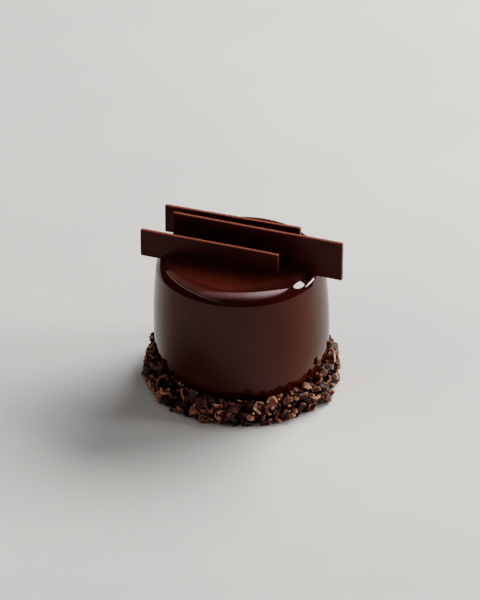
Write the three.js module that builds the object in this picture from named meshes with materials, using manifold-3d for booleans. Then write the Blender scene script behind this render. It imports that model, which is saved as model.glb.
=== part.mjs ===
// A single-portion glazed chocolate cake with three chocolate plaques and a ring of cocoa nibs.
// Millimetres, +Z up, -Y towards the viewer. The origin is the centre of the flat underside.
import * as THREE from "three";
import { mergeVertices } from "three/addons/utils/BufferGeometryUtils.js";
import Module from "manifold-3d";

// The glazed body is a barrel, widest below the middle, with a crease at the neck
// where the rounded shoulder starts
const WIDEST_RADIUS = 35;
const WIDEST_HEIGHT = 24.4;
const FOOT_RADIUS = 30.5;
const FOOT_ROUND = 1.2;
const NECK_RADIUS = 33.3;
const NECK_HEIGHT = 51;
const SHOULDER_BREAK = 0.26;
const SHOULDER_WIDTH = 3.6;
const SHOULDER_HEIGHT = 6.4;
const SHOULDER_SQUARENESS = 2.5;
const TOP_DOME = 0.5;
const LEAN = -0.016;

// The plaques are thin cut sheets, set on edge and pressed into the top
const PLAQUE_THICKNESS = 1.7;
const PLAQUE_FOOT = 54.4;
const PLAQUES = [
  { name: "plaque_front", length: 57.8, height: 11.3, turn: -21.3, along: -9.1, row: -13.1 },
  { name: "plaque_middle", length: 70.8, height: 16.1, turn: -21.3, along: 7.4, row: -3.8 },
  { name: "plaque_back", length: 56.8, height: 11.6, turn: -19.9, along: -7.9, row: 9.5 },
];

// The nibs are heaped on a low sloping bank round the foot, a smaller core that joins them
const BANK_FOOT_RADIUS = 37.6;
const BANK_TOP_RADIUS = 34.7;
const BANK_FOOT_HEIGHT = 1.5;
const BANK_TOP_HEIGHT = 11.6;
const BANK_SWELL = 0.12;
const CORE_TOP_CLIMB = 0.85;
const CORE_TUCK = 1.2;
const CORE_INNER_RADIUS = 28;
const NIB_COUNT = 168;
const NIB_TRIES = 10;
const NIB_LENGTH = 5.8;
const NIB_WIDTH = 4.4;
const NIB_DEPTH = 3.4;
const NIB_SMALLEST = 0.72;
const NIB_LARGEST = 1.2;
const NIB_CHIPPED = 0.68;
const NIB_TILT = 1.2;
const NIB_PROUD = 0.5;
const NIB_CLEARANCE = 0.05;

// Clear space between neighbouring pieces
const GAP = 0.3;

// Colours and gloss
const GLAZE = { color: 0x3a1a14, roughness: 0.12, metalness: 0 };
const PLAQUE = { color: 0x2a1512, roughness: 0.45, metalness: 0 };
const NIB = { color: 0x7a4e38, roughness: 0.7, metalness: 0 };

// How finely curves are divided
const TURN_STEPS = 64;
const SIDE_STEPS = 11;
const SHOULDER_STEPS = 8;
const TOP_STEPS = 3;
const CORE_STEPS = 32;
const WELD = 1e-4;
const FULL_TURN = 2 * Math.PI;
const FIRST_DRAW = 1301;
const DRAW_STEP = 16807;
const DRAW_SPAN = 2147483647;

const wasm = await Module();
wasm.setup();

// Repeatable draws between 0 and 1
let drawn = FIRST_DRAW;
function draw() {
  drawn = (drawn * DRAW_STEP) % DRAW_SPAN;
  return drawn / DRAW_SPAN;
}

function toSolid(geometry) {
  const bare = geometry.clone();
  bare.deleteAttribute("normal");
  bare.deleteAttribute("uv");
  const merged = mergeVertices(bare, WELD);
  return new wasm.Manifold(
    new wasm.Mesh({
      numProp: 3,
      vertProperties: new Float32Array(merged.attributes.position.array),
      triVerts: new Uint32Array(merged.index.array),
    }),
  );
}

function toGeometry(solid) {
  const mesh = solid.getMesh();
  const geometry = new THREE.BufferGeometry();
  geometry.setAttribute("position", new THREE.BufferAttribute(mesh.vertProperties, 3));
  geometry.setIndex(new THREE.BufferAttribute(mesh.triVerts, 1));
  geometry.computeVertexNormals();
  return geometry;
}

// Half-width of the body at a height on its side, before the shoulder is rounded off
function sideRadius(z) {
  if (z < WIDEST_HEIGHT) {
    return WIDEST_RADIUS - (WIDEST_RADIUS - FOOT_RADIUS) * (1 - z / WIDEST_HEIGHT) ** 2;
  }
  const rise = (z - WIDEST_HEIGHT) / (NECK_HEIGHT - WIDEST_HEIGHT);
  const barrel = WIDEST_RADIUS - (WIDEST_RADIUS - NECK_RADIUS) * rise ** 2;
  return barrel - SHOULDER_BREAK * Math.max(z - NECK_HEIGHT, 0);
}

// Turned body, with the profile moved outwards by a margin and leaning a little to the left
function bodyGeometry(margin) {
  const profile = [new THREE.Vector2(0, -margin)];
  profile.push(new THREE.Vector2(sideRadius(0) - FOOT_ROUND + margin, -margin));
  for (let i = 0; i <= SIDE_STEPS; i += 1) {
    const z = FOOT_ROUND + ((NECK_HEIGHT - FOOT_ROUND) * i) / SIDE_STEPS;
    profile.push(new THREE.Vector2(sideRadius(z) + margin, z));
  }
  const rimHeight = NECK_HEIGHT + SHOULDER_HEIGHT;
  const flatRadius = sideRadius(rimHeight) - SHOULDER_WIDTH;
  for (let i = 1; i <= SHOULDER_STEPS; i += 1) {
    const angle = (Math.PI / 2) * (i / SHOULDER_STEPS);
    const out = Math.max(Math.cos(angle), 0) ** (2 / SHOULDER_SQUARENESS);
    const up = Math.sin(angle) ** (2 / SHOULDER_SQUARENESS);
    const z = NECK_HEIGHT + SHOULDER_HEIGHT * up;
    const radius = sideRadius(z) - SHOULDER_WIDTH * (1 - out);
    profile.push(new THREE.Vector2(radius + margin * out, z + margin * up));
  }
  for (let i = TOP_STEPS - 1; i >= 0; i -= 1) {
    const share = i / TOP_STEPS;
    profile.push(
      new THREE.Vector2(flatRadius * share, rimHeight + margin + TOP_DOME * (1 - share ** 2)),
    );
  }
  const geometry = new THREE.LatheGeometry(profile, TURN_STEPS);
  geometry.rotateX(Math.PI / 2);
  const shear = new THREE.Matrix4().makeShear(0, 0, 0, 0, LEAN, 0);
  return geometry.applyMatrix4(shear);
}

// One upright plaque, grown on every side by a margin
function plaqueGeometry(plaque, margin) {
  const geometry = new THREE.BoxGeometry(
    plaque.length + 2 * margin,
    PLAQUE_THICKNESS + 2 * margin,
    plaque.height + 2 * margin,
  );
  const middle = PLAQUE_FOOT + plaque.height / 2;
  geometry.translate(plaque.along, plaque.row + PLAQUE_THICKNESS / 2, middle);
  geometry.rotateZ(THREE.MathUtils.degToRad(plaque.turn));
  return geometry;
}

// The bank stands a little higher at the left and right than at the front and back
function bankRise(angle) {
  return 1 + BANK_SWELL * Math.cos(2 * angle);
}

function bankHeight(climb) {
  return BANK_FOOT_HEIGHT + (BANK_TOP_HEIGHT - BANK_FOOT_HEIGHT) * climb;
}

function bankRadius(climb) {
  return BANK_FOOT_RADIUS + (BANK_TOP_RADIUS - BANK_FOOT_RADIUS) * climb ** 2;
}

function coreGeometry() {
  const halfway = CORE_TOP_CLIMB / 2;
  const profile = [
    new THREE.Vector2(CORE_INNER_RADIUS, 0),
    new THREE.Vector2(BANK_FOOT_RADIUS - CORE_TUCK, 0),
    new THREE.Vector2(bankRadius(0), bankHeight(0)),
    new THREE.Vector2(bankRadius(halfway), bankHeight(halfway)),
    new THREE.Vector2(bankRadius(CORE_TOP_CLIMB), bankHeight(CORE_TOP_CLIMB)),
    new THREE.Vector2(CORE_INNER_RADIUS, bankHeight(CORE_TOP_CLIMB)),
    new THREE.Vector2(CORE_INNER_RADIUS, 0),
  ];
  const geometry = new THREE.LatheGeometry(profile, CORE_STEPS).rotateX(Math.PI / 2);
  const place = geometry.attributes.position;
  for (let i = 0; i < place.count; i += 1) {
    const angle = Math.atan2(place.getY(i), place.getX(i));
    place.setZ(i, place.getZ(i) * bankRise(angle));
  }
  return geometry;
}

// Distance between two spots on the unrolled bank
function spacing(a, b) {
  const apart = Math.abs(a.angle - b.angle);
  const across = Math.min(apart, FULL_TURN - apart) * BANK_FOOT_RADIUS;
  const up = (a.climb - b.climb) * (BANK_TOP_HEIGHT - BANK_FOOT_HEIGHT);
  return Math.hypot(across, up);
}

// Each nib takes the roomiest of a few drawn spots, which spreads them evenly but not in rows
function nibSpots() {
  const spots = [];
  for (let i = 0; i < NIB_COUNT; i += 1) {
    let best = null;
    let mostRoom = -1;
    for (let k = 0; k < NIB_TRIES; k += 1) {
      const spot = { angle: FULL_TURN * draw(), climb: draw() };
      const room = Math.min(...spots.map((other) => spacing(spot, other)));
      if (room > mostRoom) {
        best = spot;
        mostRoom = room;
      }
    }
    spots.push(best);
  }
  return spots;
}

// One broken nib: a six-sided chunk with uneven corners, its thin side facing out from the bank
function nibGeometry(spot) {
  const block = new THREE.BoxGeometry(1, 1, 1);
  block.deleteAttribute("normal");
  block.deleteAttribute("uv");
  const chunk = mergeVertices(block);
  const corner = chunk.attributes.position;
  for (let i = 0; i < corner.count; i += 1) {
    const x = corner.getX(i) * (1 - NIB_CHIPPED * draw());
    const y = corner.getY(i) * (1 - NIB_CHIPPED * draw());
    const z = corner.getZ(i) * (1 - NIB_CHIPPED * draw());
    corner.setXYZ(i, x, y, z);
  }
  const size = NIB_SMALLEST + (NIB_LARGEST - NIB_SMALLEST) * draw();
  chunk.scale(size * NIB_LENGTH, size * NIB_WIDTH, size * NIB_DEPTH);
  chunk.rotateZ(FULL_TURN * draw());
  chunk.rotateX(NIB_TILT * (draw() - 0.5));
  chunk.rotateY(Math.PI / 2 + NIB_TILT * (draw() - 0.5));
  const out = bankRadius(spot.climb) + (NIB_PROUD * size * NIB_DEPTH) / 2;
  chunk.translate(out, 0, bankHeight(spot.climb) * bankRise(spot.angle));
  chunk.rotateZ(spot.angle);
  chunk.computeBoundingBox();
  chunk.translate(0, 0, Math.max(0, NIB_CLEARANCE - chunk.boundingBox.min.z));
  return chunk;
}

// The largest closed skin, so that hollows sealed between nibs are filled and scraps dropped
function outerBody(solid) {
  return solid.decompose().reduce((a, b) => (b.volume() > a.volume() ? b : a));
}

function nibRing(body) {
  let ring = toSolid(coreGeometry());
  for (const spot of nibSpots()) {
    ring = ring.add(toSolid(nibGeometry(spot)));
  }
  return outerBody(ring.subtract(body));
}

function addNode(group, name, geometry, finish) {
  const mesh = new THREE.Mesh(geometry, new THREE.MeshStandardMaterial(finish));
  mesh.name = name;
  group.add(mesh);
}

const cake = new THREE.Group();
cake.name = "chocolate_cake";

let body = toSolid(bodyGeometry(0));
for (const plaque of PLAQUES) {
  body = body.subtract(toSolid(plaqueGeometry(plaque, GAP)));
  addNode(cake, plaque.name, plaqueGeometry(plaque, 0), PLAQUE);
}
addNode(cake, "cake", toGeometry(body), GLAZE);
addNode(cake, "nib_ring", toGeometry(nibRing(toSolid(bodyGeometry(GAP)))), NIB);

export default cake;
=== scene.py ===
# %% [markdown]
# A single-portion chocolate cake: a barrel of mousse under a mirror glaze, three chocolate
# plaques on top and a ring of cocoa nibs round the foot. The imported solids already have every
# size and place, so this lesson only dresses them. Loading them first fixes the frame: metres,
# Z up, the origin in the middle of the underside and the viewer on the -Y side. Sizes are written
# in millimetres here, and become metres where Blender takes them.

import math

import bpy
import numpy as np
from mathutils import Matrix, Vector, noise


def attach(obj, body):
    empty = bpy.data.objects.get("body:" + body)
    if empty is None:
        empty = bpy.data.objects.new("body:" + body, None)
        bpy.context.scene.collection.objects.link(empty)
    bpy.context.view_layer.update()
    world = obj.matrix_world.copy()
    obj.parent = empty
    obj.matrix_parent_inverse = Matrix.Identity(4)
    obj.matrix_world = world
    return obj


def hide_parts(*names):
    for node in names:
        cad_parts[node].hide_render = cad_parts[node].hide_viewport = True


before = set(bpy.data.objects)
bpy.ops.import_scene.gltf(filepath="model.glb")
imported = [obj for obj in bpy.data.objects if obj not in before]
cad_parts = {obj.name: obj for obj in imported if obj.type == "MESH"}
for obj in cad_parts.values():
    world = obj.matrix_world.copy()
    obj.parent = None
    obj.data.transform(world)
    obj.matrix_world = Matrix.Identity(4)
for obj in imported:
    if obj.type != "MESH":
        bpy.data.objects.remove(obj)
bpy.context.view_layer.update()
MM = 0.001
print("solids:", sorted(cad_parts))

# %% [markdown]
# The viewer looks down on the cake from about thirty-one degrees through a long lens, so the
# sides stay almost parallel. A camera could be set by its angles. Here it is placed by two points,
# where it stands and what it looks at, because those are easier to read and to change.

# %% Camera
CAMERA_STANDS = Vector((0, -1208.0, 716.6)) * MM
CAMERA_LOOKS_AT = Vector((-1.0, 0, 35.0)) * MM
LENS_MM = 210
SENSOR_MM = 36
FARTHEST_SEEN_M = 20


def new_object(name, data):
    """An object that shows this data, linked into the scene."""
    made = bpy.data.objects.new(name, data)
    bpy.context.scene.collection.objects.link(made)
    return made


def aim(made, stands, looks_at):
    """Sets an object down at one place and points its -Z axis at another."""
    made.location = stands
    made.rotation_euler = (looks_at - stands).to_track_quat("-Z", "Y").to_euler()


camera_data = bpy.data.cameras.new("camera")
camera_data.lens = LENS_MM
camera_data.sensor_width = SENSOR_MM
camera_data.clip_end = FARTHEST_SEEN_M
camera = new_object("camera", camera_data)
aim(camera, CAMERA_STANDS, CAMERA_LOOKS_AT)
bpy.context.scene.camera = camera
print("camera looks down", round(math.degrees(math.pi / 2 - camera.rotation_euler.x), 1), "degrees")

# %% [markdown]
# Every finish on this cake is painted by shader nodes. They could be wired by hand in the editor,
# but in code every number stays in sight. Colours are written as sRGB hex values, and a shader
# works in linear light, so one function turns one into the other. A second adds a node with its
# settings and links. A third is the node that comes up most: a ramp from one colour to the next.

# %% Colours and nodes
def linear(code):
    """Linear RGBA from an sRGB hex value such as 4a2218."""
    values = [int(code[i : i + 2], 16) / 255 for i in (0, 2, 4)]
    return (*[v / 12.92 if v <= 0.04045 else ((v + 0.055) / 1.055) ** 2.4 for v in values], 1.0)


def add_node(tree, kind, settings=None, links=None):
    """One shader node. Settings and links go by socket name or number, or by property name."""
    node = tree.nodes.new(kind)
    for key, value in (settings or {}).items():
        if isinstance(key, int) or key in node.inputs:
            node.inputs[key].default_value = value
        else:
            setattr(node, key, value)
    for key, source in (links or {}).items():
        tree.links.new(source, node.inputs[key])
    return node


def ramp(tree, source, stops):
    """A colour that follows a value, through stops given as a value and its colour."""
    node = add_node(tree, "ShaderNodeValToRGB", links={"Fac": source})
    elements = node.color_ramp.elements
    while len(elements) < len(stops):
        elements.new(position=0.5)
    for element, (place, colour) in zip(elements, stops):
        element.position = place
        element.color = colour
    return node.outputs["Color"]


print("half grey 808080 is", round(linear("808080")[0], 3), "in linear light")

# %% [markdown]
# The cake stands on a pale matt table. One flat colour looks like paper, so a faint cloud of two
# near greys lies over it, as on plaster that was smoothed by hand. A noise does that without a
# picture and never repeats. The paint is almost without gloss, because the only mirror in this
# scene is the glaze.

# %% Floor paint
FLOOR_DARK = "c9c8c6"
FLOOR_PALE = "cfcecb"
FLOOR_CLOUD_MM = 160
# Most of a cloud's values lie between these two
CLOUD_SPAN = (0.3, 0.7)


def new_material(name):
    """An empty node material and its tree."""
    material = bpy.data.materials.new(name)
    material.use_nodes = True
    material.node_tree.nodes.clear()
    return material, material.node_tree


def cloud(tree, size_mm, detail):
    """A noise in the object's own space, with features about this many millimetres wide."""
    where = add_node(tree, "ShaderNodeTexCoord").outputs["Object"]
    settings = {"Scale": 1 / (size_mm * MM), "Detail": detail}
    return add_node(tree, "ShaderNodeTexNoise", settings, {"Vector": where}).outputs["Fac"]


def two_shades(tree, source, dark, pale, span=CLOUD_SPAN):
    """A colour between two shades, as a value goes from one end of a span to the other."""
    return ramp(tree, source, [(span[0], linear(dark)), (span[1], linear(pale))])


def surface(tree, settings, links):
    """The one surface shader of a material, wired to its output."""
    shader = add_node(tree, "ShaderNodeBsdfPrincipled", settings, links)
    add_node(tree, "ShaderNodeOutputMaterial", links={"Surface": shader.outputs["BSDF"]})


# Plaster smoothed by hand: the eye gets an even, chalky grey that never gleams
plaster, tree = new_material("matt_pale_plaster")
floor_colour = two_shades(tree, cloud(tree, FLOOR_CLOUD_MM, detail=4.0), FLOOR_DARK, FLOOR_PALE)
surface(tree, {"Roughness": 0.8, "Specular IOR Level": 0.2}, {"Base Color": floor_colour})
print("floor paint with clouds of", FLOOR_CLOUD_MM, "mm")

# %% [markdown]
# The glaze shows where the table ends, as the dark band under its rim. One large plane would
# close that band, so the floor is made of two rings: a table top, and a floor round it that no
# mirror shows. The table runs on towards the window at the right and the back, which closes the
# band on that side only.

# %% Floor
FULL_TURN = 2 * math.pi
TABLE_RADIUS = 400
TABLE_RUN = 2400
TABLE_TOWARDS = math.radians(50)
TABLE_TAPER = 4
FLOOR_RADIUS = 4000
FLOOR_STEPS = 192

floor_turn = np.linspace(0, FULL_TURN, FLOOR_STEPS, endpoint=False)
towards_window = np.maximum(np.cos(floor_turn - TABLE_TOWARDS), 0)
table_edge = TABLE_RADIUS + TABLE_RUN * towards_window**TABLE_TAPER


def ring_faces(rings, columns):
    """Quads between closed rings of points that are stored ring by ring."""
    faces = []
    for ring in range(rings - 1):
        first, second = ring * columns, (ring + 1) * columns
        for j in range(columns):
            k = (j + 1) % columns
            faces.append((first + j, first + k, second + k, second + j))
    return faces


def floor_ring(name, inner, outer):
    """A flat ring of floor between two edges, given as radii in millimetres all the way round."""
    points = []
    for edge in (outer, inner):
        radii = np.broadcast_to(edge, FLOOR_STEPS) * MM
        flat = np.zeros(FLOOR_STEPS)
        points += list(zip(radii * np.cos(floor_turn), radii * np.sin(floor_turn), flat))
    mesh = bpy.data.meshes.new(name)
    mesh.from_pydata(points, [], ring_faces(2, FLOOR_STEPS))
    mesh.materials.append(plaster)
    made = new_object(name, mesh)
    return made


floor_ring("table_top", 0, table_edge)
room_floor = floor_ring("room_floor", table_edge, FLOOR_RADIUS)
room_floor.visible_glossy = False
print("table reaches", round(table_edge.min()), "to", round(table_edge.max()), "mm")

# %% [markdown]
# A mirror glaze shows its surroundings, so the light is half of its look. Bare lamps would give
# hard shadows and pinpoint glints, so the lamps are soft boxes, which are flat and even. An oval,
# tilted one at the right gives the white glint on the right shoulder, and a low one beside it the
# glint's thin tail. The window is a wide oval, high and far off behind the cake at the right. It
# lights the whole floor alike and throws the soft shadow to the left and forward. A weak fill
# hangs overhead and is kept out of the gloss. The glow is set as brightness and the power follows
# from the area, so that a box can be resized without changing how bright its reflection is.

# %% Soft boxes
CAKE_MIDDLE = Vector((0, 0, 40)) * MM
BOX_AWAY = 2000


def soft_box(name, turn, climb, width_mm, height_mm, glow, roll=0, oval=False, away=BOX_AWAY):
    """A flat lamp that faces the cake. Turn is counted from the viewer to the right."""
    lamp = bpy.data.lights.new(name, "AREA")
    lamp.shape = "ELLIPSE" if oval else "RECTANGLE"
    lamp.size = width_mm * MM
    lamp.size_y = height_mm * MM
    area = lamp.size * lamp.size_y * (math.pi / 4 if oval else 1)
    lamp.energy = math.pi * area * glow
    turn, climb = math.radians(turn), math.radians(climb)
    out = math.cos(climb)
    towards = Vector((math.sin(turn) * out, -math.cos(turn) * out, math.sin(climb)))
    made = new_object(name, lamp)
    aim(made, CAKE_MIDDLE + towards * away * MM, CAKE_MIDDLE)
    made.rotation_euler.rotate_axis("Z", math.radians(roll))
    print(name, round(lamp.energy, 1), "W")
    return made


soft_box("glint_box", turn=89.3, climb=19.4, width_mm=740, height_mm=590, glow=14, roll=-34, oval=True)
soft_box("glint_tail", turn=104, climb=4.9, width_mm=700, height_mm=105, glow=14, roll=-12)
soft_box("window_box", turn=134.5, climb=37, width_mm=3060, height_mm=1620, glow=13, oval=True, away=3600)
fill = soft_box("ceiling_fill", turn=0, climb=80, width_mm=2400, height_mm=2400, glow=0.2)
fill.visible_glossy = False

# %% [markdown]
# The bright crescent on the front of the shoulder is the reflection of a long strip that hangs
# above and behind the viewer. It could be painted on the glaze, but then it wouldn't move as a
# reflection does when the cake is seen from elsewhere. Photographers use such a strip to draw a
# line in the gloss while it hardly lights the matt things, so it is kept out of the diffuse light.

# %% Strip lamp
strip = soft_box("crescent_strip", turn=0, climb=37, width_mm=7600, height_mm=1800, glow=8.7)
strip.visible_diffuse = False
strip.visible_camera = False

# %% [markdown]
# The crescent is brightest at the right, its upper edge is sharp, it fades downwards and tapers to
# a point at the right. Several lamps could be set side by side for that, but one lamp with its own
# shader has no seams. Places on it are counted as height and offset over distance, seen from the
# cake, because a small mirror sorts light by direction.

# %% Strip pattern
STRIP_TINT = "ffdeea"
# Lower and upper edge, as height over distance, and how each changes towards the right
STRIP_LOW = 0.384
STRIP_LOW_BEND = 0.14
STRIP_HIGH = 1.378
STRIP_HIGH_SLOPE = 0.12
STRIP_ENDS = {"From Min": -2.0, "From Max": 3.0}
# Brightness from the lower edge, which is 0, to the upper edge, which is 1
STRIP_FADE = [(0.0, 0.0), (0.12, 0.2), (0.25, 0.5), (0.38, 0.85), (0.5, 1.0), (0.97, 1.0), (0.995, 0.0)]
# Brightness from the left end, which is 0, to the right end, which is 1
STRIP_RUN = [(0.0, 0.0), (0.16, 0.09), (0.28, 0.19), (0.41, 0.34), (0.53, 0.77), (0.7, 1.0)]


def calculate(tree, operation, *terms):
    """Result of a math node, whose terms are numbers or the outputs of other nodes."""
    numbers = {k: term for k, term in enumerate(terms) if isinstance(term, (int, float))}
    outputs = {k: term for k, term in enumerate(terms) if k not in numbers}
    return add_node(tree, "ShaderNodeMath", {"operation": operation, **numbers}, outputs).outputs[0]


def brightness(tree, source, steps):
    """A grey that follows a value, through steps given as a value and its brightness."""
    return ramp(tree, source, [(place, (level, level, level, 1.0)) for place, level in steps])


strip.data.use_nodes = True
tree = strip.data.node_tree
tree.nodes.clear()
place = add_node(tree, "ShaderNodeNewGeometry").outputs["Position"]
axis = add_node(tree, "ShaderNodeSeparateXYZ", links={"Vector": place}).outputs
nearer = calculate(tree, "MULTIPLY", axis["Y"], -1.0)
lifted = calculate(tree, "SUBTRACT", axis["Z"], CAKE_MIDDLE.z)
offset = calculate(tree, "DIVIDE", axis["X"], nearer)
height = calculate(tree, "DIVIDE", lifted, nearer)
rightward = calculate(tree, "MAXIMUM", offset, 0.0)
squared = calculate(tree, "POWER", rightward, 2.0)
low = calculate(tree, "MULTIPLY_ADD", squared, STRIP_LOW_BEND, STRIP_LOW)
high = calculate(tree, "MULTIPLY_ADD", rightward, STRIP_HIGH_SLOPE, STRIP_HIGH)
upward = add_node(tree, "ShaderNodeMapRange", links={"Value": height, "From Min": low, "From Max": high})
along = add_node(tree, "ShaderNodeMapRange", STRIP_ENDS, {"Value": offset})
fade = brightness(tree, upward.outputs["Result"], STRIP_FADE)
run = brightness(tree, along.outputs["Result"], STRIP_RUN)
level = calculate(tree, "MULTIPLY", run, fade)
glow = add_node(tree, "ShaderNodeEmission", {"Color": linear(STRIP_TINT)}, {"Strength": level})
add_node(tree, "ShaderNodeOutputLight", links={"Surface": glow.outputs["Emission"]})
print("strip pattern of", len(tree.nodes), "nodes")

# %% [markdown]
# The rest of the room is dim: nearly black along the horizon, which gives the dark band under the
# crescent, and hardly paler overhead. Walls and a ceiling could be modelled, but nothing sees them
# from nearby, so the room is painted on the world by direction.

# %% Dim room
# Grey by how far a direction rises, from 0 along the floor to 1 straight up
ROOM_GREYS = [(0.0, 0.05), (0.75, 0.06), (0.95, 0.14)]

world = bpy.data.worlds.new("dim_room")
world.use_nodes = True
bpy.context.scene.world = world
tree = world.node_tree
tree.nodes.clear()
ray = add_node(tree, "ShaderNodeTexCoord").outputs["Generated"]
rise = add_node(tree, "ShaderNodeSeparateXYZ", links={"Vector": ray}).outputs["Z"]
room = brightness(tree, rise, ROOM_GREYS)
room_light = add_node(tree, "ShaderNodeBackground", links={"Color": room}).outputs["Background"]
print("room greys from", ROOM_GREYS[0][1], "to", ROOM_GREYS[-1][1])

# %% [markdown]
# A paler wall at the left carries the crescent on round the rim, with a thin bright line where its
# lower edge starts. It is painted on the world as well, since it is too far off to need a shape.
# Height on the wall is the rise of a direction divided by its reach towards the wall, because that
# keeps the wall's edges straight.

# %% Paler wall
WALL_GLOW = 1.9
WALL_TINT = "fff6f0"
WALL_TURN = math.radians(-60)
WALL_FACES = (math.sin(WALL_TURN), -math.cos(WALL_TURN), 0)
WALL_RUNS = (math.cos(WALL_TURN), math.sin(WALL_TURN), 0)
WALL_HEIGHT = {"From Max": 1.4}
WALL_ENDS = {"From Min": -2.0, "From Max": 1.0}
# Keeps directions that point away from the wall from dividing by nothing
LEAST_REACH = 0.02
# Brightness from the floor, which is 0, to the wall's full height, which is 1
WALL_LINE = [(0.196, 0.0), (0.208, 1.0), (0.22, 1.0)]
WALL_BAND = [*WALL_LINE, (0.238, 0.24), (0.45, 0.26), (0.6, 0.18), (0.95, 0.0)]
# Brightness from one end of the wall, which is 0, to the other, which is 1
WALL_RUN = [(0.03, 0.0), (0.05, 1.0), (0.7, 1.0), (0.95, 0.0)]

dot = {"operation": "DOT_PRODUCT"}
reach = add_node(tree, "ShaderNodeVectorMath", {**dot, 1: WALL_FACES}, {0: ray}).outputs["Value"]
aside = add_node(tree, "ShaderNodeVectorMath", {**dot, 1: WALL_RUNS}, {0: ray}).outputs["Value"]
ahead = calculate(tree, "MAXIMUM", reach, LEAST_REACH)
height = calculate(tree, "DIVIDE", rise, ahead)
offset = calculate(tree, "DIVIDE", aside, ahead)
upward = add_node(tree, "ShaderNodeMapRange", WALL_HEIGHT, {"Value": height})
along = add_node(tree, "ShaderNodeMapRange", WALL_ENDS, {"Value": offset})
band = brightness(tree, upward.outputs["Result"], WALL_BAND)
run = brightness(tree, along.outputs["Result"], WALL_RUN)
level = calculate(tree, "MULTIPLY", calculate(tree, "MULTIPLY", band, run), WALL_GLOW)
tint = {"Color": linear(WALL_TINT)}
wall_light = add_node(tree, "ShaderNodeBackground", tint, {"Strength": level}).outputs["Background"]
both = add_node(tree, "ShaderNodeAddShader", links={0: room_light, 1: wall_light})
add_node(tree, "ShaderNodeOutputWorld", links={"Surface": both.outputs["Shader"]})
print("wall at", round(math.degrees(WALL_TURN)), "degrees, room of", len(tree.nodes), "nodes")

# %% [markdown]
# A food photograph is printed with deep blacks and firm middle tones. Each colour could be pushed
# by hand, but one curve with a soft toe does it for all: weak grey reflections on the dark glaze
# sink back into the brown, lit browns come up a little, and pale things hardly change.

# %% Film
# Light that reaches the film, and how much of it the print shows
FILM_POINTS = [
    (0.01, 0.0025),
    (0.022, 0.0105),
    (0.035, 0.021),
    (0.085, 0.1),
    (0.2, 0.245),
    (0.4, 0.445),
    (0.65, 0.66),
]
ALL_COLOURS = 3
WEAK_LIGHT = 0.02

film = bpy.context.scene.view_settings
film.view_transform = "Standard"
film.use_curve_mapping = True
film_curve = film.curve_mapping.curves[ALL_COLOURS]
for light, shown in FILM_POINTS:
    film_curve.points.new(light, shown)
film.curve_mapping.update()
print("film shows", WEAK_LIGHT, "as", round(film.curve_mapping.evaluate(film_curve, WEAK_LIGHT), 4))

# %% [markdown]
# Chocolate mirror glaze is cocoa, sugar syrup and gelatine, poured warm over the frozen cake. It
# levels itself, so it has no grain at all: a smooth, wet skin over a deep brown. It pools on the
# top and runs thin and nearly black down the side. Along the rim at the front left, where the lamps
# leave the shoulder in shade, the pooled colour is painted paler: painted light. On the right
# shoulder, where the lamps light it, the pooled colour reaches lower: painted light too. Two marks
# on the points say where it has pooled, with that lower reach, and where the rim is painted paler,
# which follows the shape better than a picture could. Faint long waves from the pouring keep
# reflections from looking machined.

# %% Glaze material
SIDE_DEEP = "431d0c"
SIDE_LIGHT = "4a200e"
POOL_DEEP = "49241c"
# Pale end of the pooled colour, which the rim mark reaches: painted light on the shaded rim
POOL_RIM_LIT = "743e2f"
GLAZE_CLOUD_MM = 22
POOL_CLOUD = 0.1
GLAZE_WAVE_MM = 16
GLAZE_WAVE_DEEP_MM = 0.3
COCOA_IOR = 1.45
# Sockets of a mix node when it mixes colours, and its colour output
MIX_SHARE, MIX_FIRST, MIX_SECOND = 0, 6, 7
MIX_COLOUR = 2


def mark(tree, name):
    """The number that the points of a mesh carry under this name."""
    return add_node(tree, "ShaderNodeAttribute", {"attribute_name": name}).outputs["Fac"]


def blend(tree, share, first, second):
    """A colour that is the first where the share is 0 and the second where it is 1."""
    links = {MIX_SHARE: share, MIX_FIRST: first, MIX_SECOND: second}
    return add_node(tree, "ShaderNodeMix", {"data_type": "RGBA"}, links).outputs[MIX_COLOUR]


def relief(tree, height, deep_mm, strength):
    """Tilts the light over a pattern of heights, without moving any point."""
    settings = {"Strength": strength, "Distance": deep_mm * MM}
    return add_node(tree, "ShaderNodeBump", settings, {"Height": height}).outputs["Normal"]


# A poured skin that levelled itself: the eye gets sharp reflections over a deep, grainless brown
glaze, tree = new_material("poured_chocolate_mirror_glaze")
glaze_cloud = cloud(tree, GLAZE_CLOUD_MM, detail=3.0)
side_colour = two_shades(tree, glaze_cloud, SIDE_DEEP, SIDE_LIGHT)
# The rim mark paints the pooled colour paler along the shaded front-left rim: painted light
pool_cloud_and_rim_light = calculate(tree, "MULTIPLY_ADD", glaze_cloud, POOL_CLOUD, mark(tree, "painted_rim_light"))
pool_and_rim_light_colour = two_shades(tree, pool_cloud_and_rim_light, POOL_DEEP, POOL_RIM_LIT, span=(POOL_CLOUD / 2, 1.0))
glaze_colour = blend(tree, mark(tree, "pooled_and_lit"), side_colour, pool_and_rim_light_colour)
flow = relief(tree, cloud(tree, GLAZE_WAVE_MM, detail=1.0), GLAZE_WAVE_DEEP_MM, strength=0.2)
surface(tree, {"Roughness": 0.035, "IOR": COCOA_IOR}, {"Base Color": glaze_colour, "Normal": flow})
print("glaze with waves of", GLAZE_WAVE_MM, "mm")

# %% [markdown]
# The body is a turned form: one profile swept round the upright axis. The real cake sets in a
# mould, and the glaze rounds off its shoulder. The profile is worked out from the same sizes as
# the solid, but in much finer steps, because a mirror shows every facet. A function is easier to
# change than a subdivided cylinder, and keeps the shoulder's exact rounding.

# %% Body profile
WIDEST_RADIUS = 35
WIDEST_HEIGHT = 24.4
FOOT_RADIUS = 30.5
FOOT_ROUND = 1.2
NECK_RADIUS = 33.3
NECK_HEIGHT = 51
# How far the side leans in for each millimetre above the neck
SHOULDER_BREAK = 0.26
SHOULDER_WIDTH = 3.6
SHOULDER_HEIGHT = 6.4
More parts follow.
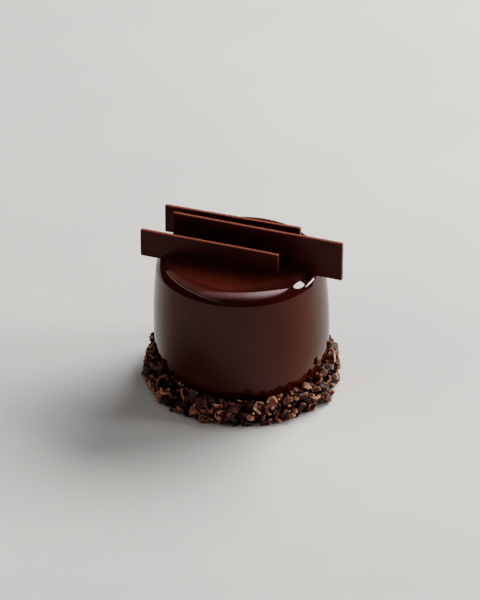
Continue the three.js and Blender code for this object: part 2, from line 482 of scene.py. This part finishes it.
# 2 is a quarter of an ellipse, and more is squarer
SHOULDER_SQUARENESS = 2.5
TOP_DOME = 0.5
RIM_HEIGHT = NECK_HEIGHT + SHOULDER_HEIGHT
UNDERSIDE_RADII = (0.0, 10.0, 20.0)
FOOT_STEPS = 8
SIDE_STEPS = 60
SHOULDER_STEPS = 60
TOP_STEPS = 30


def side_radius(z):
    """Half-width of the body at a height on its side, before the shoulder is rounded off."""
    if z < WIDEST_HEIGHT:
        return WIDEST_RADIUS - (WIDEST_RADIUS - FOOT_RADIUS) * (1 - z / WIDEST_HEIGHT) ** 2
    rise = (z - WIDEST_HEIGHT) / (NECK_HEIGHT - WIDEST_HEIGHT)
    break_in = SHOULDER_BREAK * max(z - NECK_HEIGHT, 0)
    return WIDEST_RADIUS - (WIDEST_RADIUS - NECK_RADIUS) * rise**2 - break_in


FLAT_RADIUS = side_radius(RIM_HEIGHT) - SHOULDER_WIDTH


def body_profile():
    """Radius and height of the body's outline, from the axis below to the axis on top."""
    profile = [(radius, 0.0) for radius in UNDERSIDE_RADII]
    for step in np.linspace(0, math.pi / 2, FOOT_STEPS):
        inset = FOOT_ROUND * (1 - math.sin(step))
        profile.append((side_radius(FOOT_ROUND) - inset, FOOT_ROUND * (1 - math.cos(step))))
    for z in np.linspace(FOOT_ROUND, NECK_HEIGHT, SIDE_STEPS)[1:]:
        profile.append((side_radius(z), z))
    for step in np.linspace(0, math.pi / 2, SHOULDER_STEPS)[1:]:
        out = max(math.cos(step), 0) ** (2 / SHOULDER_SQUARENESS)
        z = NECK_HEIGHT + SHOULDER_HEIGHT * math.sin(step) ** (2 / SHOULDER_SQUARENESS)
        profile.append((side_radius(z) - SHOULDER_WIDTH * (1 - out), z))
    for share in np.linspace(1, 0, TOP_STEPS)[1:]:
        profile.append((FLAT_RADIUS * share, RIM_HEIGHT + TOP_DOME * (1 - share**2)))
    return np.array(profile)


profile = body_profile()
print("profile of", len(profile), "points, flat top radius", round(FLAT_RADIUS, 1), "mm")

# %% [markdown]
# The profile is now swept round the axis, which leans a little to the left, as the real cake does.
# A spin modifier could sweep it, but points in an array can carry marks: where the glaze has
# pooled on the top, reaching lower on the lit right shoulder as painted light, and where the
# shaded rim at the front left is painted paler as painted light.

# %% Swept points
# How far the axis goes to the right for each millimetre up
LEAN = -0.016
TURN_STEPS = 360
# Heights where the pooled glaze starts and is full, and how it runs lower to the lit right: painted light
POOL_STARTS = 53
POOL_FULL = 55.8
POOL_LIT_RUN = 0.15
# Where the painted rim light starts and is full, by radius, from right to left and from back to front
RIM_LIGHT_STARTS = 27.9
RIM_LIGHT_FULL = 29.8
RIM_LIGHT_RIGHT = 6
RIM_LIGHT_LEFT = -8
RIM_LIGHT_BACK = -8
RIM_LIGHT_FRONT = -17


def grown(values, start, full):
    """Share that is 0 up to the start, 1 from full on, and rises evenly between them."""
    return np.clip((values - start) / (full - start), 0, 1)


turn = np.linspace(0, FULL_TURN, TURN_STEPS, endpoint=False)
from_axis = np.repeat(profile[:, 0], TURN_STEPS)
up = np.repeat(profile[:, 1], TURN_STEPS)
right = from_axis * np.tile(np.cos(turn), len(profile)) + LEAN * up
back = from_axis * np.tile(np.sin(turn), len(profile))
pool_and_lit_share = grown(up + POOL_LIT_RUN * np.maximum(right, 0), POOL_STARTS, POOL_FULL)
painted_rim_light_share = grown(from_axis, RIM_LIGHT_STARTS, RIM_LIGHT_FULL)
painted_rim_light_share *= grown(right, RIM_LIGHT_RIGHT, RIM_LIGHT_LEFT)
painted_rim_light_share *= grown(back, RIM_LIGHT_BACK, RIM_LIGHT_FRONT)
print("glaze pools on", round(100 * np.mean(pool_and_lit_share > 0)), "in 100 points of the body")

# %% [markdown]
# The glazed body is the cake's largest piece and stands in for its plain solid. Like every piece
# from here on it is made by one function, which turns arrays of points and faces into a smooth
# mesh, hangs the marks on its points and ties the object to the cake's one body. Each of these
# could be done by hand, but a function does them alike for all.

# %% Glazed body
def piece(name, points_mm, faces, material, replaces=None, marks=None, crease=0):
    """A smooth mesh object from points in millimetres, riding on the cake."""
    mesh = bpy.data.meshes.new(name)
    mesh.from_pydata((np.asarray(points_mm) * MM).tolist(), [], faces)
    mesh.update()
    mesh.shade_smooth()
    if crease:
        mesh.set_sharp_from_angle(angle=math.radians(crease))
    for key, values in (marks or {}).items():
        layer = mesh.attributes.new(key, "FLOAT", "POINT")
        layer.data.foreach_set("value", np.asarray(values, dtype=np.float32))
    mesh.materials.append(material)
    made = new_object(name, mesh)
    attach(made, "root")
    if replaces:
        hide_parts(replaces)
    print(name, len(mesh.vertices), "points", len(mesh.polygons), "faces")
    return made


piece(
    "glazed_body",
    np.stack([right, back, up], axis=1),
    ring_faces(len(profile), TURN_STEPS),
    glaze,
    replaces="cake",
    marks={"pooled_and_lit": pool_and_lit_share, "painted_rim_light": painted_rim_light_share},
)

# %% [markdown]
# The plaques are cut from a thin sheet of tempered chocolate that set against smooth film. Their
# faces are dark and satin, while the cut edges are dull and lighter, since a knife leaves fine
# crumbs that scatter the light. The top edges are painted paler still, most of all at the back, as
# a painted highlight from the lamps behind. Two materials would meet in a hard line, so one serves
# both: a mark on the points says how near a point is to a cut edge, with that painted highlight on
# the top edges.

# %% Plaque material
FACE_DARK = "4a241e"
FACE_BROWN = "522a23"
CUT_LIT_DARK = "623023"
CUT_LIT_BROWN = "a25942"
BLOOM_MM = 9
CRUMB_MM = 0.5
CRUMB_DEEP_MM = 0.08
CRUMB_SPAN = (0.25, 0.75)
# Roughness of the faces, and of the cut edges
FACE_TO_EDGE = {"To Min": 0.3, "To Max": 0.65}

# A sheet set against film, then cut: a soft sheen, and a pale rim from crumbs and painted highlight
plaque_chocolate, tree = new_material("tempered_dark_chocolate_sheet")
cut_and_lit = mark(tree, "cut_and_lit")
crumb = cloud(tree, CRUMB_MM, detail=3.0)
face = two_shades(tree, cloud(tree, BLOOM_MM, detail=4.0), FACE_DARK, FACE_BROWN)
# Edge colour for the crumbly cut edges and the painted highlight on the top edges
edge = two_shades(tree, crumb, CUT_LIT_DARK, CUT_LIT_BROWN, span=CRUMB_SPAN)
dull = add_node(tree, "ShaderNodeMapRange", FACE_TO_EDGE, {"Value": cut_and_lit})
surface(
    tree,
    {"IOR": COCOA_IOR, "Specular IOR Level": 0.3},
    {
        "Base Color": blend(tree, cut_and_lit, face, edge),
        "Roughness": dull.outputs["Result"],
        "Normal": relief(tree, crumb, CRUMB_DEEP_MM, strength=0.25),
    },
)
print("plaque chocolate with crumbs of", CRUMB_MM, "mm")

# %% [markdown]
# Plaques and nibs both start as a box of points. Blender's own cube has only eight, and dividing
# it gives even squares everywhere. This one takes the cuts along each axis instead, so that they
# can lie closer together near an edge that will be rounded.

# %% Box of points
# Two points are one where they agree to this many decimals
SAME_POINT = 6
QUAD_CORNERS = ((0, 0), (1, 0), (1, 1), (0, 1))


def box_grid(xs, ys, zs):
    """Points and outward quads on the six sides of a box, from the cuts along each axis."""
    index, points, faces = {}, [], []
    axes = (xs, ys, zs)

    def number(point):
        key = tuple(round(v, SAME_POINT) for v in point)
        if key not in index:
            index[key] = len(points)
            points.append(point)
        return index[key]

    for fixed in range(3):
        a, b = (fixed + 1) % 3, (fixed + 2) % 3
        for end in (0, -1):
            for i in range(len(axes[a]) - 1):
                for j in range(len(axes[b]) - 1):
                    quad = []
                    for di, dj in QUAD_CORNERS:
                        point = [0.0, 0.0, 0.0]
                        point[fixed] = axes[fixed][end]
                        point[a] = axes[a][i + di]
                        point[b] = axes[b][j + dj]
                        quad.append(number(tuple(point)))
                    faces.append(quad[::-1] if end == 0 else quad)
    return np.array(points), faces


ends = (-1, 1)
print("the plainest box has", len(box_grid(ends, ends, ends)[1]), "faces")

# %% [markdown]
# Each plaque is a thin box with a tiny rounding on all its edges. A bevel would do that too, but
# here the outermost points are pulled onto the rounding, so each point knows how near it is to a
# cut edge, and how much painted highlight it gets on the top edges. The knife's small chips and a
# slight bow in the sheet come from noise on the points, because such thin pieces look like plastic
# when they are perfectly straight.

# %% Plaque shape
PLAQUE_EDGE_ROUND = 0.3
PLAQUE_STEP_MM = 0.7
FEWEST_CUTS = 3
# Where the cuts lie within a corner: 0 is where its rounding starts, 1 the outermost
CORNER_CUTS = np.array([1.0, 0.7, 0.4, 0.2])
CHIP_MM = 0.14
CHIP_SPREAD_MM = 1.6
CHIP_STRETCH = 0.5
BOW_MM = 0.16
BOW_SPREAD_MM = 30
# Painted highlight on the front half of the top edge, as a share of the back lip's
TOP_FRONT_LIT = 0.45
END_PALE = 0.25


def cuts(half, corner, step):
    """Cuts along one axis of a box: even in the middle, closer within the corner."""
    flat = half - corner
    middle = np.linspace(-flat, flat, max(FEWEST_CUTS, int(2 * half / step)))
    near = flat + corner * CORNER_CUTS
    return np.concatenate([-near, middle, near[::-1]])


def plaque_shape(half, seed):
    """A plaque's points about its own middle, its faces, and its edge mark with painted highlight."""
    points, faces = box_grid(*[cuts(h, PLAQUE_EDGE_ROUND, PLAQUE_STEP_MM) for h in half])
    flat = half - PLAQUE_EDGE_ROUND
    inner = np.clip(points, -flat, flat)
    out = points - inner
    out /= np.linalg.norm(out, axis=1, keepdims=True)
    to_back = (points[:, 1] / half[1] + 1) / 2
    # Top edges paler than the ends, and paler towards the back: painted highlight
    top = np.clip(out[:, 2], 0, 1) * (TOP_FRONT_LIT + (1 - TOP_FRONT_LIT) * to_back)
    ends = END_PALE * (np.abs(out[:, 0]) + np.clip(-out[:, 2], 0, 1))
    off_face = 1 - np.abs(out[:, 1])
    points = inner + PLAQUE_EDGE_ROUND * out
    for k, point in enumerate(points):
        across = Vector((point[0], point[1] * CHIP_STRETCH, point[2] + seed))
        chip = noise.noise(across / CHIP_SPREAD_MM)
        bow = noise.noise(Vector((point[0], seed, point[2])) / BOW_SPREAD_MM)
        point -= out[k] * off_face[k] * CHIP_MM * max(chip, 0)
        point[1] += BOW_MM * bow
    return points, faces, np.clip(top + ends, 0, 1)


print("plaque edges rounded by", PLAQUE_EDGE_ROUND, "mm, chipped by up to", CHIP_MM, "mm")

# %% [markdown]
# Three plaques stand on edge in the top, turned so that their right ends come nearer to the viewer.
# The middle one is the longest and highest. Each could be shaped where it stands, but is made about
# its own middle and then set in its solid's place, because rounding and noise are simpler to work
# out on a box that lies along the axes.

# %% Plaques
PLAQUE_THICKNESS = 1.7
PLAQUE_FOOT = 54.4
PLAQUE_SEED_STEP = 17.3
# Before the turn, the middle stands this far along to the right and the front face on this row
PLAQUES = [
    {"node": "plaque_front", "length": 57.8, "height": 11.3, "turn": -21.3, "along": -9.1, "row": -13.1},
    {"node": "plaque_middle", "length": 70.8, "height": 16.1, "turn": -21.3, "along": 7.4, "row": -3.8},
    {"node": "plaque_back", "length": 56.8, "height": 11.6, "turn": -19.9, "along": -7.9, "row": 9.5},
]

for number, plaque in enumerate(PLAQUES):
    half = np.array([plaque["length"], PLAQUE_THICKNESS, plaque["height"]]) / 2
    points, faces, cut_and_lit_share = plaque_shape(half, PLAQUE_SEED_STEP * number)
    points += (plaque["along"], plaque["row"] + half[1], PLAQUE_FOOT + half[2])
    turned = np.array(Matrix.Rotation(math.radians(plaque["turn"]), 3, "Z"))
    piece(
        "cut_" + plaque["node"],
        points @ turned.T,
        faces,
        plaque_chocolate,
        replaces=plaque["node"],
        marks={"cut_and_lit": cut_and_lit_share},
    )

# %% [markdown]
# Cocoa nibs are roasted cocoa beans broken into bits: dark, dry chunks and curved flakes, brown on
# the outside. A material for each nib would be hundreds, so one serves them all. A mark on each
# point holds how pale that whole nib is, and a second one paints light and shade by its shape:
# paler on sharp edges and flake rims as painted highlight, darker in hollows as painted shade,
# since the edges are what the eye picks out of the heap.

# %% Nib material
# Colours from the darkest nibs and painted shade in hollows, at 0, to painted highlights on edges, at 1
NIB_SHADES = [(0.0, "120806"), (0.25, "2a150e"), (0.5, "4c2b1d"), (0.75, "926248"), (1.0, "d2a484")]
NIB_GRAIN_MM = 0.8
NIB_GRAIN_DEEP_MM = 0.2
NIB_SPECKLE = {"To Min": -0.22, "To Max": 0.22}

# Dry, broken bean: dull, speckled browns, with painted highlight on crisp edges and shade in hollows
nib_brown, tree = new_material("broken_roasted_cocoa_nib")
grain = cloud(tree, NIB_GRAIN_MM, detail=4.0)
speckle = add_node(tree, "ShaderNodeMapRange", NIB_SPECKLE, {"Value": grain}).outputs["Result"]
# Tone of the whole nib, plus painted highlight on edges and painted shade in hollows
pale = calculate(tree, "ADD", mark(tree, "tone"), mark(tree, "painted_shading"))
pale = calculate(tree, "ADD", pale, speckle)
nib_colour = ramp(tree, pale, [(place, linear(code)) for place, code in NIB_SHADES])
pitted = relief(tree, grain, NIB_GRAIN_DEEP_MM, strength=0.5)
surface(
    tree,
    {"Roughness": 0.55, "IOR": COCOA_IOR, "Specular IOR Level": 0.4},
    {"Base Color": nib_colour, "Normal": pitted},
)
print("nib material with a grain of", NIB_GRAIN_MM, "mm")

# %% [markdown]
# The nibs lie against the foot of the cake as a low bank. A particle system could scatter them,
# but these have to lie where the solid's plain chunks do, so their places come from the same
# repeatable draws. Each nib takes the roomiest of ten drawn spots, an angle round the cake and a
# share of the climb up the bank, which spreads them evenly but not in rows.

# %% Nib places
BANK_FOOT_RADIUS = 37.6
BANK_TOP_RADIUS = 34.7
BANK_FOOT_HEIGHT = 1.5
BANK_TOP_HEIGHT = 11.6
NIB_COUNT = 168
NIB_TRIES = 10
FIRST_DRAW = 1301
DRAW_STEP = 16807
DRAW_SPAN = 2147483647


def draws(value):
    """Repeatable numbers between 0 and 1."""
    while True:
        value = value * DRAW_STEP % DRAW_SPAN
        yield value / DRAW_SPAN


def bank_height(climb):
    """Height of the bank, before it swells or settles, at a share of the way up."""
    return BANK_FOOT_HEIGHT + (BANK_TOP_HEIGHT - BANK_FOOT_HEIGHT) * climb


def bank_radius(climb):
    """Distance of the bank's face from the axis at a share of the way up."""
    return BANK_FOOT_RADIUS + (BANK_TOP_RADIUS - BANK_FOOT_RADIUS) * climb**2


def spacing(a, b):
    """Distance between two spots on the unrolled bank."""
    apart = abs(a[0] - b[0])
    across = min(apart, FULL_TURN - apart) * BANK_FOOT_RADIUS
    return math.hypot(across, (a[1] - b[1]) * (BANK_TOP_HEIGHT - BANK_FOOT_HEIGHT))


def room_at(spot):
    """Distance from a spot to the nearest one already taken."""
    return min((spacing(spot, taken) for taken in spots), default=math.inf)


chance = draws(FIRST_DRAW)
spots = []
for _ in range(NIB_COUNT):
    tries = [(FULL_TURN * next(chance), next(chance)) for _ in range(NIB_TRIES)]
    spots.append(max(tries, key=room_at))
print(len(spots), "nib places")

# %% [markdown]
# The bank is higher at the left and right, and the real heap has settled lower along the front. It
# could be moulded with a lattice, but a factor on the height, which changes with the angle round
# the cake, serves nibs, fragments and crumbs alike.

# %% Settled heap
BANK_SWELL = 0.12
FRONT_SETTLED = 0.17
FRONT_SPREAD = 1.25


def front_share(angle):
    """1 all along the front of the cake, falling to 0 at its two sides and round the back."""
    return min(FRONT_SPREAD * max(-math.sin(angle), 0), 1)


def heap_rise(angle):
    """Factor on the bank's height at an angle, counted from the right."""
    return 1 + BANK_SWELL * math.cos(2 * angle) - FRONT_SETTLED * front_share(angle)


for side, angle in {"right": 0, "back": math.pi / 2, "front": -math.pi / 2}.items():
    print("heap at the", side, round(heap_rise(angle), 2))

# %% [markdown]
# Each place has a plain chunk in the solid: a box whose corners are drawn in by uneven shares, and
# which is tilted out of the bank. Cutting up the solid's mesh would give the chunks too, but they
# are fused there, so the same draws give each one's corners, size and turn again.

# %% Plain chunks
NIB_SIZES = np.array([5.8, 4.4, 3.4])
NIB_SMALLEST = 0.72
NIB_LARGEST = 1.2
NIB_CHIPPED = 0.68
NIB_TILT = 1.2
NIB_PROUD = 0.5
# Order of a box's corners, as signs along length, width and depth
BOX_CORNERS = np.array(
    [(1, 1, 1), (1, -1, 1), (1, 1, -1), (1, -1, -1), (-1, 1, -1), (-1, -1, -1), (-1, 1, 1), (-1, -1, 1)]
)


def drawn_nib(spot):
    """Corners of one plain chunk about its own middle, its size, and the turn that sets it."""
    shares = np.array([next(chance) for _ in range(BOX_CORNERS.size)]).reshape(BOX_CORNERS.shape)
    corners = BOX_CORNERS / 2 * (1 - NIB_CHIPPED * shares)
    size = NIB_SMALLEST + (NIB_LARGEST - NIB_SMALLEST) * next(chance)
    spin = Matrix.Rotation(FULL_TURN * next(chance), 3, "Z")
    lean = Matrix.Rotation(NIB_TILT * (next(chance) - 0.5), 3, "X")
    face_out = Matrix.Rotation(math.pi / 2 + NIB_TILT * (next(chance) - 0.5), 3, "Y")
    round_cake = Matrix.Rotation(spot[0], 3, "Z")
    return corners * size * NIB_SIZES, size, np.array(round_cake @ face_out @ lean @ spin)


def spot_centre(spot, size):
    """Middle of a nib of this size that sits partly sunk in the bank."""
    angle, climb = spot
    out = bank_radius(climb) + NIB_PROUD * size * NIB_SIZES[2] / 2
    return np.array([out * math.cos(angle), out * math.sin(angle), bank_height(climb) * heap_rise(angle)])


chunks = [(spot, *drawn_nib(spot)) for spot in spots]
chunk_sizes = [size for _, _, size, _ in chunks]
print(len(chunks), "chunks, sizes", round(min(chunk_sizes), 2), "to", round(max(chunk_sizes), 2))

# %% [markdown]
# Broken cocoa comes in three kinds of bit: curled flakes, which are pieces of the bean's folded
# lobes, blunt chunks and thin slivers. Sculpting each by hand would take days and a few copied
# models would repeat, so they are worked out in numbers. All start from one blank, a fine box that
# is rounded part of the way to a ball.

# %% Nib blank
NIB_STEPS = 9
NIB_ROUND = 0.35
BALL_SIZE = 1.2


def nib_blank(steps):
    """A fine rounded box from -1 to 1, its faces and edges, and how near each point is to the rim."""
    unit = np.linspace(-1, 1, steps + 1)
    points, faces = box_grid(unit, unit, unit)
    ball = points / np.linalg.norm(points, axis=1, keepdims=True)
    return {
        "points": points * (1 - NIB_ROUND) + ball * BALL_SIZE * NIB_ROUND,
        "rim": np.sort(np.abs(points[:, :2]), axis=1)[:, 1],
        "faces": np.array(faces),
        "edges": np.array([(f[k], f[(k + 1) % 4]) for f in faces for k in range(4)]),
    }


nib_shape = nib_blank(NIB_STEPS)
print("a nib's blank has", len(nib_shape["points"]), "points", len(nib_shape["faces"]), "faces")

# %% [markdown]
# A flake or sliver is a thin, curved bit of a bean's lobe, with a painted highlight on its rim.
# A bend modifier could curl it, but only one object at a time, so the blank's points are flattened
# and rolled round a small cylinder. A chunk keeps the uneven corners that were drawn for it.

# %% Flakes and chunks
FLAKE_SPAN = 0.8
FLAKE_THICK_MM = (0.8, 1.4)
FLAKE_CURL = (0.8, 1.5)
# Where a flake's painted rim highlight starts, and how strong it is
RIM_STARTS = 0.7
RIM_HIGHLIGHT = 0.28


def rolled(points, half_length, half_width, thick, curl):
    """A thin rounded plate, rolled about its width by this many radians from middle to end."""
    roll_radius = half_length / curl
    angle = points[:, 0] * curl
    out = roll_radius + points[:, 2] * thick / 2
    middle = roll_radius * (1 + np.cos(curl)) / 2
    return np.stack([out * np.sin(angle), points[:, 1] * half_width, out * np.cos(angle) - middle], axis=1)


def flake(blank, half, narrow, rng):
    """A curled flake or sliver of about this half-size, and the painted highlight on its rim."""
    thick = rng.uniform(*FLAKE_THICK_MM)
    length, width = FLAKE_SPAN * half[0], FLAKE_SPAN * narrow * half[1]
    points = rolled(blank["points"], length, width, thick, rng.uniform(*FLAKE_CURL))
    points[:, 2] *= rng.choice([-1, 1])
    return points, RIM_HIGHLIGHT * grown(blank["rim"], RIM_STARTS, 1)


def chunk(blank, corners):
    """The blank, stretched between the eight corners of a chunk."""
    shares = np.prod((1 + blank["points"][:, None, :] * BOX_CORNERS[None, :, :]) / 2, axis=2)
    return shares @ corners


print("flakes", FLAKE_THICK_MM[0], "to", FLAKE_THICK_MM[1], "mm thick")

# %% [markdown]
# Roasted beans break along flat planes. Boolean cuts would break the nibs so, but slowly and into
# new faces. Pressing every point that reaches past a plane back onto it gives the same flat break
# and keeps the mesh as it is.

# %% Breaks
BREAK_DEPTH = (0.5, 0.85)


def broken_off(points, breaks, rng):
    """The points after some flat breaks, each of which takes off what reaches past it."""
    for _ in range(breaks):
        way = rng.normal(size=3)
        way /= np.linalg.norm(way)
        reach = points @ way
        over = np.maximum(reach - rng.uniform(*BREAK_DEPTH) * reach.max(), 0)
        points = points - over[:, None] * way
    return points


print("breaks lie at", BREAK_DEPTH[0], "to", BREAK_DEPTH[1], "of a nib's reach")

# %% [markdown]
# The broken faces are creased and gritty, so each nib is roughened with two sizes of noise along
# the way that its points face. A sculpting brush would do the same, but only for one nib at a
# time. A point that stands out from its neighbours is on a sharp edge and is marked paler there as
# painted highlight, and a point in a hollow is marked darker as painted shade.

# %% Nib sculpting
FLAKE_SHARE = 0.42
SLIVER_SHARE = 0.2
SLIVER_NARROW = 0.4
CHUNK_BREAKS = 8
FLAKE_BREAKS = 3
NOISE_SPAN = 900
LUMP_MM = 1.4
LUMP_DEEP = 0.32
LUMP_LEVEL = 0.25
GRIT_MM = 0.55
GRIT_DEEP = 0.07
EDGE_SHADING_GAIN = 2.6
EDGE_SHADING_RANGE = (-0.3, 0.45)


def noise_at(points, spread, seed):
    """Noise at each point, with features of this spread, from a part of the noise set by the seed."""
    away = Vector((seed, -seed, 2 * seed))
    return np.array([noise.noise(Vector(p) / spread + away) for p in points])


def neighbours_mean(points, edges):
    """Mean of the neighbouring points of every point."""
    total = np.zeros_like(points)
    np.add.at(total, edges[:, 0], points[edges[:, 1]])
    return total / np.bincount(edges[:, 0], minlength=len(points))[:, None]


def sculpt(blank, corners, rng):
    """One detailed nib about its own middle, with its painted highlight and shade at each point."""
    kind = rng.random()
    if kind < FLAKE_SHARE + SLIVER_SHARE:
        narrow = SLIVER_NARROW if kind < SLIVER_SHARE else 1.0
        points, pale = flake(blank, np.ptp(corners, axis=0) / 2, narrow, rng)
        points = broken_off(points, FLAKE_BREAKS, rng)
    else:
        pale = 0
        points = broken_off(chunk(blank, corners), CHUNK_BREAKS, rng)
    outward = points - points.mean(axis=0)
    outward /= np.linalg.norm(outward, axis=1, keepdims=True)
    seed = rng.uniform(0, NOISE_SPAN)
    lumps = np.abs(noise_at(points, LUMP_MM, seed))
    grit = noise_at(points, GRIT_MM, seed)
    points = points + outward * (LUMP_DEEP * (LUMP_LEVEL - lumps) + GRIT_DEEP * grit)[:, None]
    # Points standing out get painted highlight, points in hollows painted shade
    sharp = np.einsum("ij,ij->i", points - neighbours_mean(points, blank["edges"]), outward)
    return points, pale + np.clip(EDGE_SHADING_GAIN * sharp, *EDGE_SHADING_RANGE)


print("of the nibs", FLAKE_SHARE, "are flakes and", SLIVER_SHARE, "slivers")

# %% [markdown]
# Every drawn place now gets its nib. Copies of one nib would show, so each is sculpted anew, from
# draws that are the same on every run. A small extra tilt lets flakes stand out of the heap at all
# angles, and each nib has its own tone, as roasted beans do.

# %% Nibs
SHAPE_SEED = 41
NIB_GROWN = 1.22
EXTRA_TILT = 0.6
TONE_MEAN = 0.37
TONE_SPREAD = 0.16
TONE_RANGE = (0.04, 0.72)


def nib_tone(rng):
    """How pale a nib is: most are dark, some nearly black and a few tan."""
    return float(np.clip(rng.normal(TONE_MEAN, TONE_SPREAD), *TONE_RANGE))


def spun(angle, rng):
    """A turn by this angle about an axis that is drawn."""
    return np.array(Matrix.Rotation(angle, 3, Vector(rng.normal(size=3))))


shape_rng = np.random.default_rng(SHAPE_SEED)
nibs = []
for spot, corners, size, turned in chunks:
    shape, sharp = sculpt(nib_shape, corners * NIB_GROWN, shape_rng)
    tilt = spun(shape_rng.normal(0, EXTRA_TILT), shape_rng)
    nibs.append((spot_centre(spot, size), turned @ tilt, shape, sharp, nib_tone(shape_rng)))
print(len(nibs), "nibs sculpted")

# %% [markdown]
# A few nibs have stuck to the glaze above the bank. They could be drawn like the rest, but so few
# are better listed one by one, by degrees round the cake from the right and by height. Hundreds of
# objects would be slow to handle, so all nibs are then joined into one piece. Its normals are
# split at sharp angles, which keeps the broken edges crisp.

# %% Stray nibs and the whole heap
STRAYS = [(-31, 17.3), (-7, 17.0), (188, 16.4), (152, 15.0), (60, 15.2), (104, 14.2), (205, 14.6)]
STRAY_SIZES = np.array([4.4, 3.6, 2.6])
STRAY_CHIPPED = 0.4
STRAY_PROUD = 0.7
NIB_CREASE = 32
NIB_CLEARANCE = 0.05


def heap(name, blank, nibs):
    """Joins nibs, each with a middle, a turn, points, painted edge shading and a tone, into one piece."""
    points, faces, tones, painted_shading_marks = [], [], [], []
    for number, (centre, turned, shape, sharp, tone) in enumerate(nibs):
        placed = shape @ turned.T + centre
        placed[:, 2] += max(0, NIB_CLEARANCE - placed[:, 2].min())
        faces.append(blank["faces"] + number * len(shape))
        points.append(placed)
        tones.append(np.full(len(placed), tone))
        painted_shading_marks.append(sharp)
    return piece(
        name,
        np.concatenate(points),
        np.concatenate(faces).tolist(),
        nib_brown,
        replaces="nib_ring",
        marks={"tone": np.concatenate(tones), "painted_shading": np.concatenate(painted_shading_marks)},
        crease=NIB_CREASE,
    )


def chipped_box(sizes, chipped, rng):
    """Corners of a box of these sizes, each drawn in by up to this share."""
    return BOX_CORNERS / 2 * sizes * (1 - chipped * rng.random(BOX_CORNERS.shape))


def on_glaze(out, angle, z):
    """A place at this distance from the cake's leaning axis."""
    return np.array([out * math.cos(angle) + LEAN * z, out * math.sin(angle), z])


for degrees, height in STRAYS:
    angle = math.radians(degrees)
    corners = chipped_box(STRAY_SIZES, STRAY_CHIPPED, shape_rng)
    shape, sharp = sculpt(nib_shape, corners, shape_rng)
    centre = on_glaze(side_radius(height) + STRAY_PROUD, angle, height)
    turned = np.array(Matrix.Rotation(angle, 3, "Z") @ Matrix.Rotation(math.pi / 2, 3, "Y"))
    nibs.append((centre, turned, shape, sharp, nib_tone(shape_rng)))
heap("cocoa_nibs", nib_shape, nibs)

# %% [markdown]
# Between the nibs lie smaller fragments, which break off as the beans are crushed. They are made in
# the same way at about half the size, from a coarser blank, since less of their shape shows. About
# a third stick to the glaze in a collar along the top of the bank, and the rest lie loose on it.

# %% Fragments
FRAGMENT_COUNT = 340
FRAGMENT_STEPS = 5
FRAGMENT_SIZES = np.array([3.0, 2.2, 1.6])
FRAGMENT_CHIPPED = 0.5
FRAGMENT_GROWN = (0.6, 1.3)
COLLAR_SHARE = 0.35
COLLAR_CLIMB = (0.98, 1.2)
COLLAR_SETTLED = 0.12
COLLAR_PROUD = 0.5
LOOSE_CLIMB = (-0.1, 1.0)
LOOSE_PROUD = (0.2, 1.6)

fragment_shape = nib_blank(FRAGMENT_STEPS)
fragments = []
for _ in range(FRAGMENT_COUNT):
    collar = shape_rng.random() < COLLAR_SHARE
    angle = shape_rng.uniform(0, FULL_TURN)
    climb = shape_rng.uniform(*(COLLAR_CLIMB if collar else LOOSE_CLIMB))
    corners = chipped_box(FRAGMENT_SIZES, FRAGMENT_CHIPPED, shape_rng)
    shape, sharp = sculpt(fragment_shape, corners * shape_rng.uniform(*FRAGMENT_GROWN), shape_rng)
    turned = spun(shape_rng.uniform(0, FULL_TURN), shape_rng)
    if collar:
        climb -= COLLAR_SETTLED * front_share(angle)
    z = bank_height(climb) * heap_rise(angle)
    if collar:
        out = side_radius(z) + COLLAR_PROUD
    else:
        out = bank_radius(max(climb, 0)) + shape_rng.uniform(*LOOSE_PROUD)
    fragments.append((on_glaze(out, angle, z), turned, shape, sharp, nib_tone(shape_rng)))
heap("nib_fragments", fragment_shape, fragments)

# %% [markdown]
# Beneath nibs and fragments, crumbs and dust fill the bank. Single crumbs would hardly be seen, so
# the crumb bank is one swept ring with a coarse noise on it. It is kept dark as painted shade, so
# that the gaps in the heap look deep.

# %% Crumb bank
CORE_INNER_RADIUS = 28
CORE_TOP_CLIMB = 0.85
CORE_SUNK = 0.6
CORE_TOE = 1
CORE_ROWS = 14
CORE_TURN_STEPS = 540
CORE_LUMP_MM = 1.1
CORE_LUMP_DEEP = 0.9
# A dark tone for the bank: painted shade in the gaps of the heap
CORE_SHADE_TONE = 0.12

core_profile = [(CORE_INNER_RADIUS, 0.0), (bank_radius(0) - CORE_SUNK - CORE_TOE, 0.0)]
underside_rows = len(core_profile)
for climb in np.linspace(0, CORE_TOP_CLIMB, CORE_ROWS):
    core_profile.append((bank_radius(climb) - CORE_SUNK, bank_height(climb) - CORE_SUNK))
rough_rows = range(underside_rows, len(core_profile))
core_profile.append((CORE_INNER_RADIUS, bank_height(CORE_TOP_CLIMB) - CORE_SUNK))
core_points = []
for row, (radius, z) in enumerate(core_profile):
    for angle in np.linspace(0, FULL_TURN, CORE_TURN_STEPS, endpoint=False):
        outward = Vector((math.cos(angle), math.sin(angle), 0))
        point = radius * outward + Vector((0, 0, z * heap_rise(angle)))
        if row in rough_rows:
            point += outward * CORE_LUMP_DEEP * noise.noise(point / CORE_LUMP_MM)
        core_points.append(tuple(point))
piece(
    "crumb_bank",
    core_points,
    ring_faces(len(core_profile), CORE_TURN_STEPS),
    nib_brown,
    replaces="nib_ring",
    marks={"tone": np.full(len(core_points), CORE_SHADE_TONE), "painted_shading": np.zeros(len(core_points))},
)
